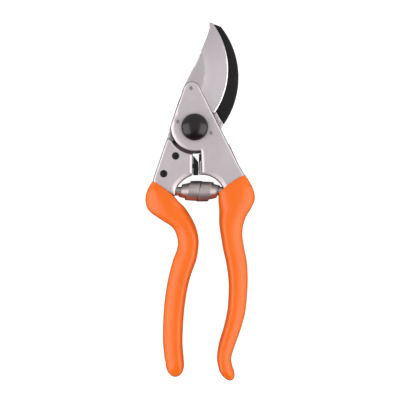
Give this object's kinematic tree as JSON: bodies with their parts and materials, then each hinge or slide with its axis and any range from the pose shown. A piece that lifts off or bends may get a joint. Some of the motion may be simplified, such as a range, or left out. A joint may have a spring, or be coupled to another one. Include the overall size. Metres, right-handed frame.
{
  "type": "bypass pruner",
  "caption": "Hand-held bypass pruner with a curved cutting blade, hooked counter-blade, volute spring and sleeved handles.",
  "frame": {"origin": "on the pivot axis, at the resting plane that touches the pivot bolt's flat end and both grips", "axes": "+Z along the pivot axis, out of the side with the round cap; +Y towards the blade tip; +X towards the handle that carries the cutting blade"},
  "size_m": [0.0646, 0.2113, 0.0218],
  "materials": {
    "aluminium": "satin, fine cast",
    "blade_steel": "ground and polished",
    "hook_steel": "matte black",
    "dark_steel": "black oxide",
    "zinc_steel": "zinc plated",
    "spring_steel": "bright strip",
    "bronze": "sintered",
    "gloss_black": "polished",
    "rubber": "moulded",
    "orange_vinyl": "semi-gloss dipped"
  },
  "bodies": {
    "hook_side": {"hook_handle_frame": "aluminium", "hook_blade": "hook_steel", "hook_rivet_upper": "dark_steel", "hook_rivet_lower": "dark_steel", "pivot_bolt": "zinc_steel", "pivot_bush": "bronze", "pivot_washer": "zinc_steel", "pivot_nut": "zinc_steel", "pivot_cap": "gloss_black", "nut_lock_segment": "zinc_steel", "segment_screw": "zinc_steel", "volute_spring": "spring_steel", "spring_post_left": "zinc_steel", "rubber_bumper": "rubber", "bumper_pin": "zinc_steel", "catch_bolt": "zinc_steel", "left_grip": "orange_vinyl"},
    "blade_side": {"blade_handle_frame": "aluminium", "cutting_blade": "blade_steel", "blade_pin_tip": "zinc_steel", "blade_pin_left": "zinc_steel", "blade_pin_right": "zinc_steel", "spring_post_right": "zinc_steel", "catch_post": "zinc_steel", "right_grip": "orange_vinyl"},
    "catch_side": {"thumb_catch": "dark_steel"}
  },
  "joints": [
    {"name": "jaw_pivot", "type": "hinge", "parent": "hook_side", "child": "blade_side", "pos_m": [0, 0, 0], "axis": [0, 0, 1], "range_deg": [0, 34], "deforming": ["volute_spring"]},
    {"name": "catch_pivot", "type": "hinge", "parent": "hook_side", "child": "catch_side", "pos_m": [-0.0042, -0.0215, 0], "axis": [0, 0, -1], "range_deg": [0, 94]}
  ]
}
